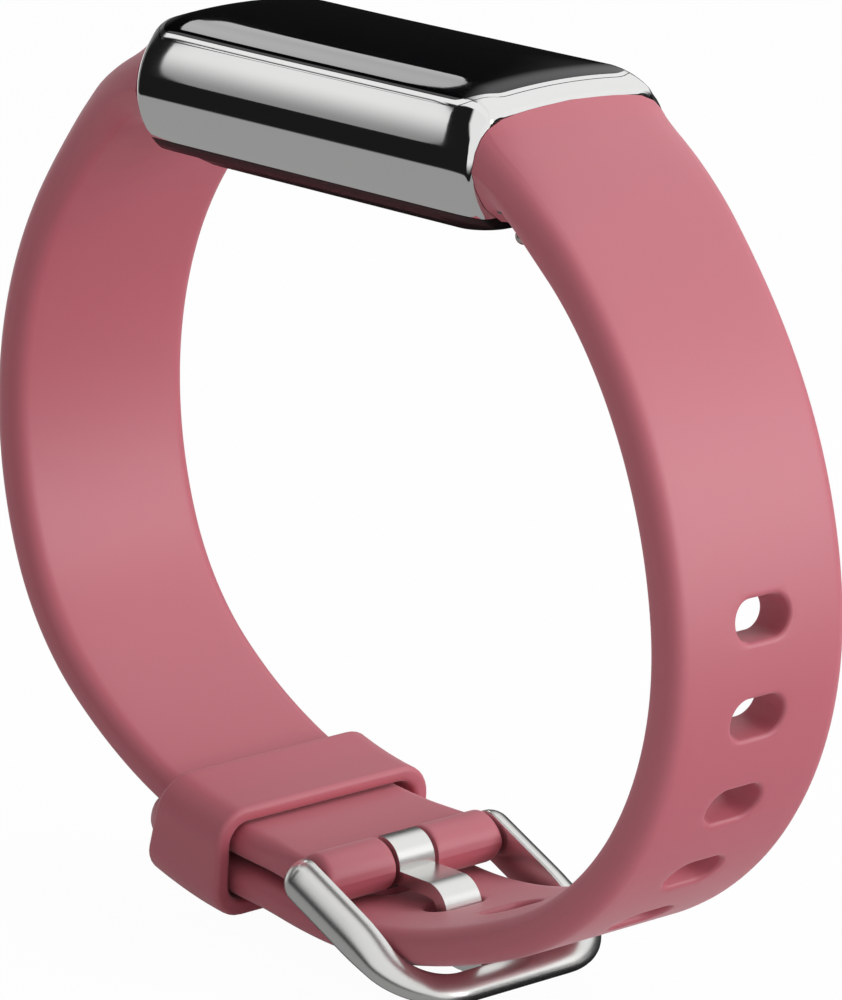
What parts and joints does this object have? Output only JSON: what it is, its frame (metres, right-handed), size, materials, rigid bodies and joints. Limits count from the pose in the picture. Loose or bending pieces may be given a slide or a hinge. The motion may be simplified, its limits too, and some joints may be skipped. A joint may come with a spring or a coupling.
{
  "type": "fitness tracker band",
  "caption": "Slim wrist tracker with a domed black glass face in a polished metal case, on a two-part soft strap closed by a pin buckle and keeper loop, sensor window underneath.",
  "frame": {"origin": "centre of the sensor window's skin face, under the middle of the tracker", "axes": "+X along the tracker from the buckle strap's end to the hole strap's end; +Y across the band; +Z out of the screen, away from the wrist"},
  "size_m": [0.0723, 0.02, 0.0642],
  "materials": {
    "polished_case": "polished stainless steel",
    "cover_glass": "black-backed glass",
    "strap_elastomer": "satin soft-touch elastomer",
    "satin_steel": "satin stainless steel",
    "black_polymer": "moulded, matt",
    "window_polymer": "moulded, gloss",
    "board_laminate": "solder-masked laminate",
    "display_stack": "bonded glass laminate",
    "flex_film": "polyimide film",
    "battery_foil": "pouch foil",
    "emitter_resin": "clear-cast resin",
    "sensor_silicon": "bare silicon under resin",
    "gold_contact": "gold plate on steel"
  },
  "bodies": {
    "band": {"case_body": "polished_case", "bezel_ring": "polished_case", "cover_glass": "cover_glass", "display_panel": "display_stack", "display_flex": "flex_film", "inner_tray": "black_polymer", "battery": "battery_foil", "main_board": "board_laminate", "board_packages": "satin_steel", "motor_can": "satin_steel", "back_cover": "black_polymer", "sensor_window": "window_polymer", "sensor_board": "board_laminate", "sensor_leds": "emitter_resin", "photodiodes": "sensor_silicon", "charge_contacts": "gold_contact", "front_bar_tube": "satin_steel", "front_bar_spring": "satin_steel", "rear_bar_tube": "satin_steel", "rear_bar_spring": "satin_steel", "hole_strap": "strap_elastomer", "buckle_strap": "strap_elastomer", "buckle_pin": "satin_steel"},
    "buckle_frame": {"buckle_frame": "satin_steel"},
    "buckle_tongue": {"buckle_tongue": "satin_steel"},
    "strap_keeper": {"strap_keeper": "strap_elastomer"},
    "front_release": {"front_bar_plunger": "satin_steel"},
    "rear_release": {"rear_bar_plunger": "satin_steel"},
    "motor_rotor": {"motor_rotor": "satin_steel"}
  },
  "joints": [
    {"name": "frame_hinge", "type": "hinge", "parent": "band", "child": "buckle_frame", "pos_m": [0.0002, 0, -0.04786], "axis": [0, 1, 0], "range_deg": [-1, 4]},
    {"name": "tongue_lift", "type": "hinge", "parent": "buckle_frame", "child": "buckle_tongue", "pos_m": [0.0002, 0, -0.04786], "axis": [0, 1, 0], "range_deg": [0, 4.5]},
    {"name": "keeper_slide", "type": "hinge", "parent": "band", "child": "strap_keeper", "pos_m": [-0.00586, 0, -0.01528], "axis": [0, 1, 0], "range_deg": [-3, 15]},
    {"name": "front_release", "type": "slide", "parent": "band", "child": "front_release", "axis": [0, 1, 0], "range_m": [0, 0.0012], "stiffness_N_per_m": 900, "deforming": ["front_bar_spring"]},
    {"name": "rear_release", "type": "slide", "parent": "band", "child": "rear_release", "axis": [0, -1, 0], "range_m": [0, 0.0012], "stiffness_N_per_m": 900, "deforming": ["rear_bar_spring"]},
    {"name": "motor_spin", "type": "hinge", "parent": "band", "child": "motor_rotor", "pos_m": [0.00988, 0, 0.0038], "axis": [0, 1, 0], "continuous": true}
  ]
}
